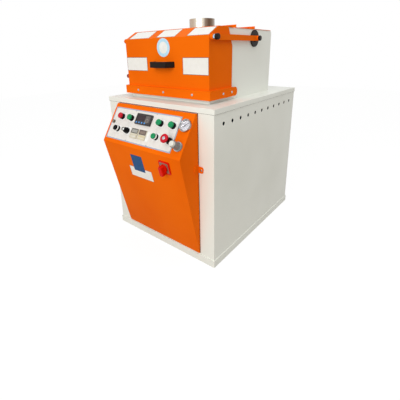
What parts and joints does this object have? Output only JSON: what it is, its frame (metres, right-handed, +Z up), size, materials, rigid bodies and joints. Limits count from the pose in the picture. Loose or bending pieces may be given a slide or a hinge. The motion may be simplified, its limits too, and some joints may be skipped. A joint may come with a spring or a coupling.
{
  "type": "vacuum centrifugal casting machine",
  "caption": "Floor cabinet with a sloping control door, a spinning mould chamber on top, a swing-up hood on side arms and a round flue collar.",
  "frame": {"origin": "centre of the cabinet's base, on the floor", "axes": "+X to the operator's right, +Y to the back, +Z up"},
  "size_m": [0.702, 1.0131, 1.148],
  "materials": {
    "white_enamel": "satin",
    "orange_enamel": "gloss",
    "grey_frame_paint": "satin",
    "stainless_steel": "brushed",
    "zinc_steel": "satin",
    "controller_brown": "satin",
    "bearing_steel": "polished",
    "bright_aluminium": "satin",
    "panel_aluminium": "satin",
    "machined_aluminium": "machined",
    "machine_iron": "cast",
    "motor_blue": "satin",
    "black_plastic": "satin",
    "dark_red_plastic": "gloss",
    "red_plastic": "gloss",
    "green_plastic": "gloss",
    "switch_plastic": "satin",
    "bezel_metal": "polished",
    "instrument_beige": "satin",
    "isolator_red": "gloss",
    "gauge_steel": "satin",
    "needle_black": "matte",
    "regulator_grey": "satin",
    "black_rubber": "matte",
    "clear_anodised": "anodised"
  },
  "bodies": {
    "cabinet": {"plinth": "white_enamel", "inner_frame": "grey_frame_paint", "front_frame": "white_enamel", "side_panel_left": "white_enamel", "side_panel_right": "white_enamel", "rear_panel": "white_enamel", "top_plate": "white_enamel", "cable_gland": "black_plastic", "door_hinges": "zinc_steel", "chamber_housing": "white_enamel", "roof_plates": "orange_enamel", "flue_collar": "stainless_steel", "chamber_bowl": "stainless_steel", "bearing_housing": "machine_iron", "spindle_bearings": "bearing_steel", "motor_body": "motor_blue", "drive_belt": "black_rubber", "clamp_cylinder": "clear_anodised", "vacuum_pump": "machine_iron", "vacuum_pipe": "zinc_steel", "pivot_discs": "black_plastic", "pivot_pins": "zinc_steel"},
    "hood": {"hood_shell": "orange_enamel", "hood_skirt": "orange_enamel", "hood_seal": "black_rubber", "hood_handle": "black_plastic", "skirt_screws": "zinc_steel", "hood_arms": "orange_enamel", "pivot_caps": "black_plastic", "knob_collar": "bright_aluminium", "front_knob": "black_plastic", "catch_knob": "dark_red_plastic"},
    "door": {"front_door": "orange_enamel", "door_screws": "zinc_steel", "control_plate": "panel_aluminium", "button_bezels": "black_plastic", "speed_controller": "controller_brown", "timers": "instrument_beige", "gauge_case": "gauge_steel", "regulator_body": "regulator_grey", "isolator_plate": "isolator_red"},
    "rotor": {"spindle": "bearing_steel", "spindle_pulley": "machine_iron", "turntable": "machined_aluminium", "pressure_plate": "machined_aluminium"},
    "lift": {"lift_plate": "machined_aluminium"},
    "clamp_rod": {"cylinder_rod": "bearing_steel"},
    "motor_rotor": {"motor_pulley": "machine_iron"},
    "panel_lock": {"panel_lock": "bezel_metal"},
    "stop_button": {"stop_button": "red_plastic"},
    "start_button_1": {"start_button_1": "green_plastic"},
    "start_button_2": {"start_button_2": "green_plastic"},
    "start_button_3": {"start_button_3": "green_plastic"},
    "lit_start_button": {"lit_start_button": "green_plastic"},
    "black_button": {"black_button": "switch_plastic"},
    "selector": {"selector": "switch_plastic"},
    "emergency_stop": {"emergency_stop": "red_plastic"},
    "gauge_needle": {"gauge_needle": "needle_black"},
    "regulator_knob": {"regulator_knob": "regulator_grey"},
    "isolator_handle": {"isolator_handle": "isolator_red"}
  },
  "joints": [
    {"name": "hood_pivot", "type": "hinge", "parent": "cabinet", "child": "hood", "pos_m": [0, 0.048, 1.046], "axis": [-1, 0, 0], "range_deg": [0, 70]},
    {"name": "door_hinge", "type": "hinge", "parent": "cabinet", "child": "door", "pos_m": [-0.268, -0.4255, 0.4], "axis": [0, 0, -1], "range_deg": [0, 90]},
    {"name": "spindle_spin", "type": "hinge", "parent": "cabinet", "child": "rotor", "pos_m": [0, -0.042, 0.6], "axis": [0, 0, 1], "continuous": true},
    {"name": "motor_spin", "type": "hinge", "parent": "cabinet", "child": "motor_rotor", "pos_m": [0, 0.26, 0.45], "axis": [0, 0, 1], "continuous": true},
    {"name": "lift_slide", "type": "slide", "parent": "rotor", "child": "lift", "axis": [0, 0, 1], "range_m": [0, 0.06]},
    {"name": "clamp_rod_slide", "type": "slide", "parent": "cabinet", "child": "clamp_rod", "axis": [0, 0, 1], "range_m": [0, 0.06]},
    {"name": "lock_turn", "type": "hinge", "parent": "door", "child": "panel_lock", "pos_m": [-0.231, -0.49449, 0.66476], "axis": [0, 0.8413, -0.5406], "range_deg": [0, 90]},
    {"name": "stop_button_press", "type": "slide", "parent": "door", "child": "stop_button", "axis": [0, 0.8413, -0.5406], "range_m": [0, 0.0035], "stiffness_N_per_m": 400, "springref_m": -0.002},
    {"name": "start_button_1_press", "type": "slide", "parent": "door", "child": "start_button_1", "axis": [0, 0.8413, -0.5406], "range_m": [0, 0.0035], "stiffness_N_per_m": 400, "springref_m": -0.002},
    {"name": "start_button_2_press", "type": "slide", "parent": "door", "child": "start_button_2", "axis": [0, 0.8413, -0.5406], "range_m": [0, 0.0035], "stiffness_N_per_m": 400, "springref_m": -0.002},
    {"name": "start_button_3_press", "type": "slide", "parent": "door", "child": "start_button_3", "axis": [0, 0.8413, -0.5406], "range_m": [0, 0.0035], "stiffness_N_per_m": 400, "springref_m": -0.002},
    {"name": "lit_start_button_press", "type": "slide", "parent": "door", "child": "lit_start_button", "axis": [0, 0.8413, -0.5406], "range_m": [0, 0.0035], "stiffness_N_per_m": 400, "springref_m": -0.002},
    {"name": "black_button_press", "type": "slide", "parent": "door", "child": "black_button", "axis": [0, 0.8413, -0.5406], "range_m": [0, 0.0035], "stiffness_N_per_m": 400, "springref_m": -0.002},
    {"name": "selector_turn", "type": "hinge", "parent": "door", "child": "selector", "pos_m": [-0.108, -0.51233, 0.637], "axis": [0, 0.8413, -0.5406], "range_deg": [-45, 45]},
    {"name": "emergency_stop_press", "type": "slide", "parent": "door", "child": "emergency_stop", "axis": [0, 0.8413, -0.5406], "range_m": [0, 0.005]},
    {"name": "gauge_needle_turn", "type": "hinge", "parent": "door", "child": "gauge_needle", "pos_m": [0.2325, -0.47124, 0.70094], "axis": [0, 0.8413, -0.5406], "range_deg": [0, 270]},
    {"name": "regulator_turn", "type": "hinge", "parent": "door", "child": "regulator_knob", "pos_m": [0.2315, -0.52211, 0.62178], "axis": [0, 0.8413, -0.5406], "range_deg": [-720, 720]},
    {"name": "isolator_turn", "type": "hinge", "parent": "door", "child": "isolator_handle", "pos_m": [0.164, -0.54084, 0.51268], "axis": [0, 0.9756, 0.2198], "range_deg": [0, 90]}
  ],
  "couplings": [
    {"joint": "motor_spin", "follows": "spindle_spin", "ratio": 2},
    {"joint": "clamp_rod_slide", "follows": "lift_slide", "ratio": 1}
  ]
}
